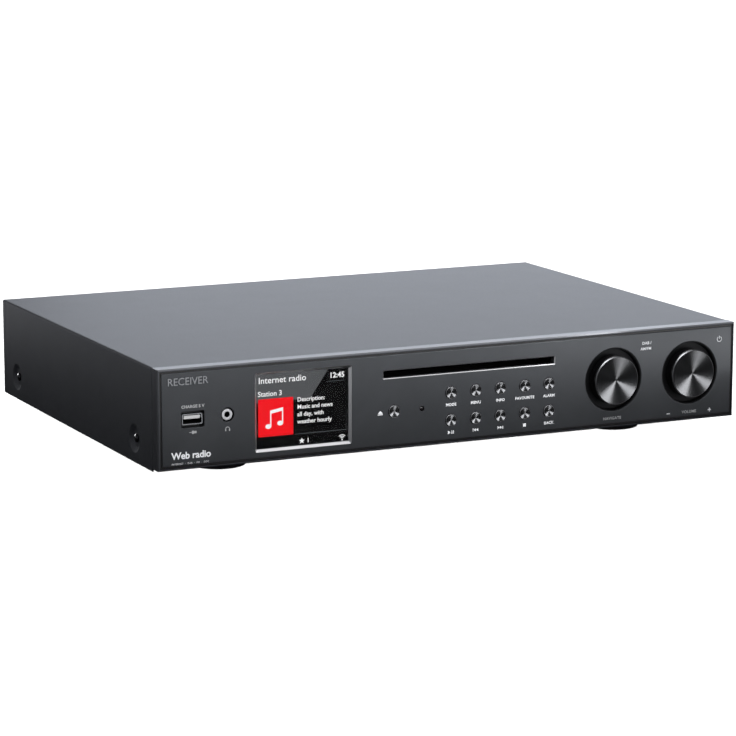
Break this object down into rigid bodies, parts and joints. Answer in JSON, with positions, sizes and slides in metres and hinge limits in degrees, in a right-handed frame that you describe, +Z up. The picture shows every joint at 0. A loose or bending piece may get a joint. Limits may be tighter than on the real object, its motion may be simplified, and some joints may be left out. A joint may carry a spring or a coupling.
{
  "type": "stereo receiver",
  "caption": "Slim hi-fi receiver with a colour display, slot-in disc player, function buttons, and two large push-and-turn knobs.",
  "frame": {"origin": "on the floor, below the centre of the whole object's bounding box", "axes": "+Z up, +Y from the front face to the rear, +X to the right as seen from the front"},
  "size_m": [0.43, 0.3182, 0.078],
  "materials": {
    "anodised_aluminium": "satin anthracite anodised",
    "front_moulding": "satin",
    "painted_steel": "fine textured powder coat",
    "zinc_plated_steel": "plated",
    "black_plastic": "moulded",
    "gloss_black": "gloss",
    "rubber": "matte",
    "spun_aluminium": "spun, black anodised",
    "heatsink_aluminium": "black anodised",
    "bright_steel": "bright plated",
    "black_screw": "blackened",
    "circuit_board": "solder mask",
    "clear_window": "clear, tinted",
    "red_plastic": "moulded"
  },
  "bodies": {
    "case": {"front_panel": "anodised_aluminium", "front_frame": "front_moulding", "top_cover": "painted_steel", "chassis_base": "zinc_plated_steel", "rear_panel": "painted_steel", "display_window": "clear_window", "display_module": "bright_steel", "usb_port": "bright_steel", "headphone_jack": "bright_steel", "infrared_window": "gloss_black", "key_board": "circuit_board", "cd_frame": "zinc_plated_steel", "cd_top_plate": "zinc_plated_steel", "main_board": "circuit_board", "network_module": "circuit_board", "heatsink": "heatsink_aluminium", "power_board": "circuit_board", "mains_inlet": "black_plastic", "phono_block": "black_plastic", "aerial_socket": "bright_steel", "lan_port": "bright_steel", "speaker_terminals": "black_plastic", "foot_front_left": "rubber", "cover_screw_left_front": "black_screw", "foot_front_right": "rubber", "cover_screw_right_front": "black_screw", "foot_rear_left": "rubber", "cover_screw_left_rear": "black_screw", "foot_rear_right": "rubber", "cover_screw_right_rear": "black_screw", "navigate_encoder": "bright_steel", "volume_encoder": "bright_steel"},
    "mode_button": {"mode_button": "spun_aluminium"},
    "menu_button": {"menu_button": "spun_aluminium"},
    "info_button": {"info_button": "spun_aluminium"},
    "favourite_button": {"favourite_button": "spun_aluminium"},
    "alarm_button": {"alarm_button": "spun_aluminium"},
    "previous_button": {"previous_button": "spun_aluminium"},
    "next_button": {"next_button": "spun_aluminium"},
    "play_button": {"play_button": "spun_aluminium"},
    "stop_button": {"stop_button": "spun_aluminium"},
    "back_button": {"back_button": "spun_aluminium"},
    "eject_button": {"eject_button": "spun_aluminium"},
    "navigate_rotor": {"navigate_rotor": "black_plastic"},
    "navigate_knob": {"navigate_knob": "gloss_black", "navigate_knob_cap": "spun_aluminium", "navigate_shaft": "bright_steel"},
    "volume_rotor": {"volume_rotor": "black_plastic"},
    "volume_knob": {"volume_knob": "gloss_black", "volume_knob_cap": "spun_aluminium", "volume_shaft": "bright_steel"},
    "loading_roller": {"loading_roller": "rubber"},
    "cd_deck": {"cd_deck": "black_plastic"},
    "turntable": {"turntable": "black_plastic"},
    "laser_sled": {"laser_sled": "black_plastic"},
    "sled_screw": {"sled_screw": "bright_steel"},
    "speaker_lever_left_minus": {"speaker_lever_left_minus": "black_plastic"},
    "speaker_lever_left_plus": {"speaker_lever_left_plus": "red_plastic"},
    "speaker_lever_right_minus": {"speaker_lever_right_minus": "black_plastic"},
    "speaker_lever_right_plus": {"speaker_lever_right_plus": "red_plastic"}
  },
  "joints": [
    {"name": "mode_press", "type": "slide", "parent": "case", "child": "mode_button", "axis": [0, 1, 0], "range_m": [0, 0.0006], "stiffness_N_per_m": 1200},
    {"name": "menu_press", "type": "slide", "parent": "case", "child": "menu_button", "axis": [0, 1, 0], "range_m": [0, 0.0006], "stiffness_N_per_m": 1200},
    {"name": "info_press", "type": "slide", "parent": "case", "child": "info_button", "axis": [0, 1, 0], "range_m": [0, 0.0006], "stiffness_N_per_m": 1200},
    {"name": "favourite_press", "type": "slide", "parent": "case", "child": "favourite_button", "axis": [0, 1, 0], "range_m": [0, 0.0006], "stiffness_N_per_m": 1200},
    {"name": "alarm_press", "type": "slide", "parent": "case", "child": "alarm_button", "axis": [0, 1, 0], "range_m": [0, 0.0006], "stiffness_N_per_m": 1200},
    {"name": "previous_press", "type": "slide", "parent": "case", "child": "previous_button", "axis": [0, 1, 0], "range_m": [0, 0.0006], "stiffness_N_per_m": 1200},
    {"name": "next_press", "type": "slide", "parent": "case", "child": "next_button", "axis": [0, 1, 0], "range_m": [0, 0.0006], "stiffness_N_per_m": 1200},
    {"name": "play_press", "type": "slide", "parent": "case", "child": "play_button", "axis": [0, 1, 0], "range_m": [0, 0.0006], "stiffness_N_per_m": 1200},
    {"name": "stop_press", "type": "slide", "parent": "case", "child": "stop_button", "axis": [0, 1, 0], "range_m": [0, 0.0006], "stiffness_N_per_m": 1200},
    {"name": "back_press", "type": "slide", "parent": "case", "child": "back_button", "axis": [0, 1, 0], "range_m": [0, 0.0006], "stiffness_N_per_m": 1200},
    {"name": "eject_press", "type": "slide", "parent": "case", "child": "eject_button", "axis": [0, 1, 0], "range_m": [0, 0.0006], "stiffness_N_per_m": 1200},
    {"name": "navigate_turn", "type": "hinge", "parent": "case", "child": "navigate_rotor", "pos_m": [0.119, -0.1437, 0.045], "axis": [0, 1, 0], "continuous": true},
    {"name": "navigate_press", "type": "slide", "parent": "navigate_rotor", "child": "navigate_knob", "axis": [0, 1, 0], "range_m": [0, 0.0005], "stiffness_N_per_m": 3000},
    {"name": "volume_turn", "type": "hinge", "parent": "case", "child": "volume_rotor", "pos_m": [0.1795, -0.1437, 0.045], "axis": [0, 1, 0], "continuous": true},
    {"name": "volume_press", "type": "slide", "parent": "volume_rotor", "child": "volume_knob", "axis": [0, 1, 0], "range_m": [0, 0.0005], "stiffness_N_per_m": 3000},
    {"name": "roller_turn", "type": "hinge", "parent": "case", "child": "loading_roller", "pos_m": [0.0088, -0.1303, 0.0554], "axis": [1, 0, 0], "continuous": true},
    {"name": "deck_lift", "type": "slide", "parent": "case", "child": "cd_deck", "axis": [0, 0, 1], "range_m": [0, 0.003]},
    {"name": "turntable_turn", "type": "hinge", "parent": "cd_deck", "child": "turntable", "pos_m": [0.0088, -0.0643, 0.052], "axis": [0, 0, 1], "continuous": true},
    {"name": "screw_turn", "type": "hinge", "parent": "cd_deck", "child": "sled_screw", "pos_m": [0.0258, -0.0573, 0.054], "axis": [0, 1, 0], "range_deg": [0, 3155]},
    {"name": "sled_travel", "type": "slide", "parent": "cd_deck", "child": "laser_sled", "axis": [0, 1, 0], "range_m": [0, 0.035]},
    {"name": "lever_left_minus", "type": "hinge", "parent": "case", "child": "speaker_lever_left_minus", "pos_m": [0.1055, 0.1507, 0.036], "axis": [1, 0, 0], "range_deg": [0, 20], "stiffness_Nm_per_rad": 0.05},
    {"name": "lever_left_plus", "type": "hinge", "parent": "case", "child": "speaker_lever_left_plus", "pos_m": [0.1185, 0.1507, 0.036], "axis": [1, 0, 0], "range_deg": [0, 20], "stiffness_Nm_per_rad": 0.05},
    {"name": "lever_right_minus", "type": "hinge", "parent": "case", "child": "speaker_lever_right_minus", "pos_m": [0.1315, 0.1507, 0.036], "axis": [1, 0, 0], "range_deg": [0, 20], "stiffness_Nm_per_rad": 0.05},
    {"name": "lever_right_plus", "type": "hinge", "parent": "case", "child": "speaker_lever_right_plus", "pos_m": [0.1445, 0.1507, 0.036], "axis": [1, 0, 0], "range_deg": [0, 20], "stiffness_Nm_per_rad": 0.05}
  ],
  "couplings": [
    {"joint": "screw_turn", "follows": "sled_travel", "rad_per_m": 1570.8}
  ]
}
